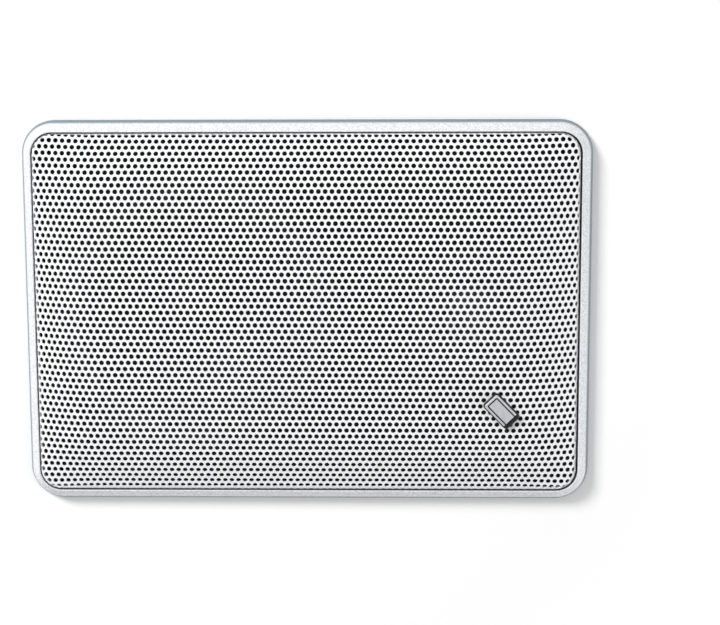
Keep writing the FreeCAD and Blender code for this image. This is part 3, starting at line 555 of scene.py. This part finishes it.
def makeGrille():
    sheet = makeSheet()
    layOut(sheet)
    edge = edgeOutline()
    trim(sheet, edge)
    press(sheet, edge)
    wall = sheet.modifiers.new("wall", "SOLIDIFY")
    wall.thickness = grille["sheet"]
    wall.offset = -1.0
    applyAll(sheet)
    smooth(sheet, grille["smooth"])
    paint(sheet, "grille_white")
    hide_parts("grille")
    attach(sheet, "grille_cover")
    print("grille:", len(sheet.data.vertices), "vertices", len(sheet.data.polygons), "faces")


makeGrille()


# Middle of a round piece, across and up
def roundMiddle(low, high):
    return np.array([low[0] + high[0], low[2] + high[2]]) / 2


# A grid that follows a section of radii and depths one way and sweeps round the middle the other way
def sweptGrid(name, section, middle, steps, start, span):
    count = len(section) - 1
    deselectAll()
    bpy.ops.mesh.primitive_grid_add(x_subdivisions=count, y_subdivisions=steps, size=1)
    swept = newest(name)
    grid = points(swept)
    radius, depth = section[np.rint((grid[:, 0] + 0.5) * count).astype(int)].T
    turn = (start + grid[:, 1]) * span
    across = middle[0] + radius * np.cos(turn)
    up = middle[1] + radius * np.sin(turn)
    setPoints(swept, np.stack([across, depth, up], 1))
    return swept


# Soft rings: sectors of one section, each bending along its own radius, joined into a ring
surround = {"node": "woofer_surround", "slot": "surround_rubber", "body": "woofer_diaphragm",
            "wall": 0.0008, "weld": 0.00004, "sectors": 24, "steps": 4, "smooth": 40.0,
            "bend": (0.0506, 0.0590), "lip": 0.0465,
            "rollMiddle": 0.0550, "rollRadius": 0.0044, "rollSteps": 16}
tweeterRoll = {"node": "tweeter_surround", "slot": "dome_cloth", "body": "tweeter_diaphragm",
               "wall": 0.0004, "weld": 0.00002, "sectors": 24, "steps": 4, "smooth": 40.0,
               "bend": (0.0132, 0.0162), "lip": 0.0127,
               "rollMiddle": 0.0147, "rollRadius": 0.0015, "rollSteps": 12}
spider = {"node": "woofer_spider", "slot": "spider_cloth", "body": "woofer_diaphragm",
          "wall": 0.0006, "weld": 0.00003, "sectors": 24, "steps": 4, "smooth": 40.0,
          "bend": (0.0146, 0.0378), "collar": 0.0127,
          "waveFrom": 0.0145, "waveTo": 0.0384, "waves": 5, "waveSteps": 8, "crest": 0.0011}


# Flat lip, half roll and flat flange
def rollSection(ring, low, high):
    outer = (high[0] - low[0]) / 2
    flat = high[1] - ring["wall"] / 2
    turns = np.linspace(math.pi, 0.0, ring["rollSteps"] + 1)
    radii = ring["rollMiddle"] + ring["rollRadius"] * np.cos(turns)
    roll = np.stack([radii, flat - ring["rollRadius"] * np.sin(turns)], 1)
    return np.concatenate([[(ring["lip"], flat)], roll, [(outer, flat)]])


# Flat collar, even waves and a flat seat
def spiderSection(ring, low, high):
    outer = (high[0] - low[0]) / 2
    flat = (low[1] + high[1]) / 2
    radii = np.linspace(ring["waveFrom"], ring["waveTo"], ring["waveSteps"] * ring["waves"] + 1)
    share = (radii - ring["waveFrom"]) / (ring["waveTo"] - ring["waveFrom"])
    swing = flat - ring["crest"] * np.sin(2 * math.pi * ring["waves"] * share)
    return np.concatenate([[(ring["collar"], flat)], np.stack([radii, swing], 1), [(outer, flat)]])


def makeSoftRing(ring, sectionOf):
    low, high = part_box(ring["node"])
    middle = roundMiddle(low, high)
    section = sectionOf(ring, low, high)
    wedge = 2 * math.pi / ring["sectors"]
    sectors = []
    for index in range(ring["sectors"]):
        sector = sweptGrid(ring["node"], section, middle, ring["steps"], index, wedge)
        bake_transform(sector)
        sectors.append(sector)
    deselectAll()
    for sector in sectors:
        sector.select_set(True)
    bpy.context.view_layer.objects.active = sectors[0]
    bpy.ops.object.join()
    whole = sectors[0]
    weld(whole, ring["weld"])
    wall = whole.modifiers.new("wall", "SOLIDIFY")
    wall.thickness = ring["wall"]
    wall.offset = 0.0
    applyAll(whole)
    smooth(whole, ring["smooth"])
    paint(whole, ring["slot"])
    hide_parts(ring["node"])
    print(ring["node"] + ":", len(whole.data.polygons), "faces")


makeSoftRing(surround, rollSection)
makeSoftRing(tweeterRoll, rollSection)
makeSoftRing(spider, spiderSection)


# Inductor winding: turns of round wire side by side on the bobbin's core
winding = {"node": "inductor_winding", "slot": "coil_copper", "turns": 11, "wireSteps": 6, "sweep": 72,
           "core": 0.005, "weld": 0.00001, "smooth": 60.0}


def windingSection(low, high):
    wire = (high[1] - low[1]) / (2 * winding["turns"])
    ring = (high[0] - low[0]) / 2 - wire
    swing = np.linspace(-math.pi / 2, math.pi / 2, winding["wireSteps"] + 1)
    turns = []
    for turn in range(winding["turns"]):
        depth = low[1] + wire * (2 * turn + 1)
        turns.append(np.stack([ring + wire * np.cos(swing), depth + wire * np.sin(swing)], 1))
    core = [(winding["core"], high[1]), (winding["core"], low[1])]
    return np.concatenate(turns + [core, turns[0][:1]])


def makeWinding():
    low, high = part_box(winding["node"])
    section = windingSection(low, high)
    coil = sweptGrid(winding["node"], section, roundMiddle(low, high), winding["sweep"], 0, 2 * math.pi)
    editMode(coil, "VERT")
    bpy.ops.mesh.select_all(action="SELECT")
    bpy.ops.mesh.remove_doubles(threshold=winding["weld"])
    bpy.ops.mesh.normals_make_consistent(inside=False)
    bpy.ops.object.mode_set(mode="OBJECT")
    smooth(coil, winding["smooth"])
    paint(coil, winding["slot"])
    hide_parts(winding["node"])
    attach(coil, "panel")
    print("inductor winding:", len(coil.data.polygons), "faces")


makeWinding()


# 1 for rays that show the background itself, in the picture or as a reflection
def backgroundRays(tree):
    rays = tree.nodes.new("ShaderNodeLightPath")
    shown = rays.outputs["Is Camera Ray"]
    for kind in ("Is Glossy Ray", "Is Transmission Ray"):
        shown = mathStep(tree, "MAXIMUM", shown, rays.outputs[kind])
    return shown


# Wall behind the panel: white, keeps the shadow, and is clear from behind
stage = {"cutout": (0.256, 0.1625), "margin": 3.0, "back": 0.0006,
         "white": 0.97, "mottle": 0.005, "mottleGrain": 3.0, "mottleDetail": 2.0,
         "nearLift": 0.064, "farLift": 0.5, "near": 0.165, "far": 0.5}


def wallMaterial():
    mat = bpy.data.materials.new("wall_white")
    mat.use_nodes = True
    tree = mat.node_tree
    tree.nodes.clear()
    place = objectPlace(tree)
    matt = tree.nodes.new("ShaderNodeBsdfDiffuse")
    mottle = noiseAt(tree, place, stage["mottleGrain"], stage["mottleDetail"])
    shade = spread(tree, mottle, stage["white"] - stage["mottle"], stage["white"] + stage["mottle"])
    tree.links.new(shade, matt.inputs["Color"])
    # far from the panel the wall is plain white, and near it the shadow stays
    glow = tree.nodes.new("ShaderNodeEmission")
    away = vectorStep(tree, "LENGTH", place)
    level = ease(tree, away, stage["near"], stage["far"], stage["nearLift"], stage["farLift"])
    tree.links.new(mathStep(tree, "MULTIPLY", backgroundRays(tree), level), glow.inputs["Strength"])
    both = tree.nodes.new("ShaderNodeAddShader")
    tree.links.new(matt.outputs[0], both.inputs[0])
    tree.links.new(glow.outputs[0], both.inputs[1])
    clear = tree.nodes.new("ShaderNodeBsdfTransparent")
    geometry = tree.nodes.new("ShaderNodeNewGeometry")
    choose = tree.nodes.new("ShaderNodeMixShader")
    tree.links.new(geometry.outputs["Backfacing"], choose.inputs["Fac"])
    tree.links.new(both.outputs[0], choose.inputs[1])
    tree.links.new(clear.outputs[0], choose.inputs[2])
    output = tree.nodes.new("ShaderNodeOutputMaterial")
    tree.links.new(choose.outputs[0], output.inputs["Surface"])
    return mat


def makeStage():
    deselectAll()
    bpy.ops.mesh.primitive_plane_add(size=1, location=(0, stage["back"], 0), rotation=(math.pi / 2, 0, 0))
    wall = newest("wall")
    wall.scale = [side + 2 * stage["margin"] for side in stage["cutout"]] + [1]
    bpy.ops.object.transform_apply(location=True, rotation=True, scale=True)
    editMode(wall, "FACE")
    bpy.ops.mesh.select_all(action="SELECT")
    bpy.ops.mesh.inset(thickness=stage["margin"])
    bpy.ops.mesh.delete(type="FACE")
    bpy.ops.object.mode_set(mode="OBJECT")
    wall.data.materials.append(wallMaterial())


makeStage()


# Flat near-black discs on the wall behind the panel's four mounting holes: painted shade standing in for
# drilled pilot holes
pilot = {"radius": 0.0024, "proud": 0.0001, "sides": 24,
         "shade": (0.004, 0.012), "grain": 900.0, "detail": 2.0}


def pilotHoleShadeMaterial():
    mat = bpy.data.materials.new("painted_pilot_hole_shade")
    mat.use_nodes = True
    tree = mat.node_tree
    shader = tree.nodes["Principled BSDF"]
    shader.inputs["Roughness"].default_value = 1.0
    shader.inputs["Specular IOR Level"].default_value = 0.0
    grain = noiseAt(tree, objectPlace(tree), pilot["grain"], pilot["detail"])
    # near-black colour with a little grain: painted shade of a hole
    tree.links.new(spread(tree, grain, *pilot["shade"]), shader.inputs["Base Color"])
    return mat


def makePilotHoleShades():
    dims = next(mount["dims"] for mount in frame["record"]["mounts"] if mount["name"] == "screw_holes")
    spreadX, spreadZ = dims["spacing_x_mm"] / 2000, dims["spacing_y_mm"] / 2000  # half of each, in metres
    mat = pilotHoleShadeMaterial()
    for signX in (-1, 1):
        for signZ in (-1, 1):
            deselectAll()
            place = (signX * spreadX, stage["back"] - pilot["proud"], signZ * spreadZ)
            bpy.ops.mesh.primitive_circle_add(vertices=pilot["sides"], radius=pilot["radius"],
                                              fill_type="NGON", location=place,
                                              rotation=(math.pi / 2, 0, 0))
            hole = newest("pilot_hole_shade_disc")
            bpy.ops.object.transform_apply(location=True, rotation=True, scale=True)
            hole.data.materials.append(mat)


makePilotHoleShades()


# Soft key from the upper left, a low fill from the lower right, an even surround and a lamp for the back
light = {"keyWay": (0.95, 1.0, -0.88), "keyDistance": 2.4, "keySize": 0.66, "keyPower": 46.5,
         "fillWay": (-0.8, 0.12, 0.25), "fillDistance": 1.0, "fillStrength": 1.65, "fillSoftness": 30.0,
         "backWay": (-0.3, -0.8, -0.5), "backDistance": 1.5, "backSize": 3.2, "backPower": 20.0,
         "surround": 0.46}


# A lamp shining along a way towards the origin
def addLamp(name, kind, way, distance):
    way = np.array(way) / np.linalg.norm(way)
    deselectAll()
    bpy.ops.object.light_add(type=kind, location=-way * distance)
    lamp = bpy.context.object
    lamp.name = name
    lamp.rotation_euler = (math.acos(-way[2]), 0, math.atan2(way[1], way[0]) - math.pi / 2)
    lamp.visible_camera = False
    return lamp.data


def makeLight():
    key = addLamp("key", "AREA", light["keyWay"], light["keyDistance"])
    key.size, key.energy = light["keySize"], light["keyPower"]
    fill = addLamp("fill", "SUN", light["fillWay"], light["fillDistance"])
    fill.angle, fill.energy = math.radians(light["fillSoftness"]), light["fillStrength"]
    back = addLamp("back", "AREA", light["backWay"], light["backDistance"])
    back.size, back.energy = light["backSize"], light["backPower"]
    world = bpy.data.worlds.new("surround")
    bpy.context.scene.world = world
    world.use_nodes = True
    tree = world.node_tree
    sky = tree.nodes["Background"]
    sky.inputs["Color"].default_value = (1.0, 1.0, 1.0, 1.0)
    tree.links.new(spread(tree, backgroundRays(tree), light["surround"], 1.0), sky.inputs["Strength"])


makeLight()


# Camera: a little above and to the right of the middle, looking slightly down
camera = {"place": (0.04424, -0.83030, 0.12115), "tilt": 81.662, "roll": 0.152, "turn": 1.173,
          "lens": 81.50, "sensor": 36.0, "nearest": 0.01}


def makeCamera():
    deselectAll()
    bpy.ops.object.camera_add(location=camera["place"])
    eye = bpy.context.object
    eye.name = "camera"
    eye.rotation_euler = [math.radians(camera[name]) for name in ("tilt", "roll", "turn")]
    eye.data.sensor_width = camera["sensor"]
    eye.data.lens = camera["lens"]
    eye.data.clip_start = camera["nearest"]
    bpy.context.scene.camera = eye


makeCamera()
bpy.context.scene.view_settings.view_transform = "Standard"
print("stage, light and camera set")
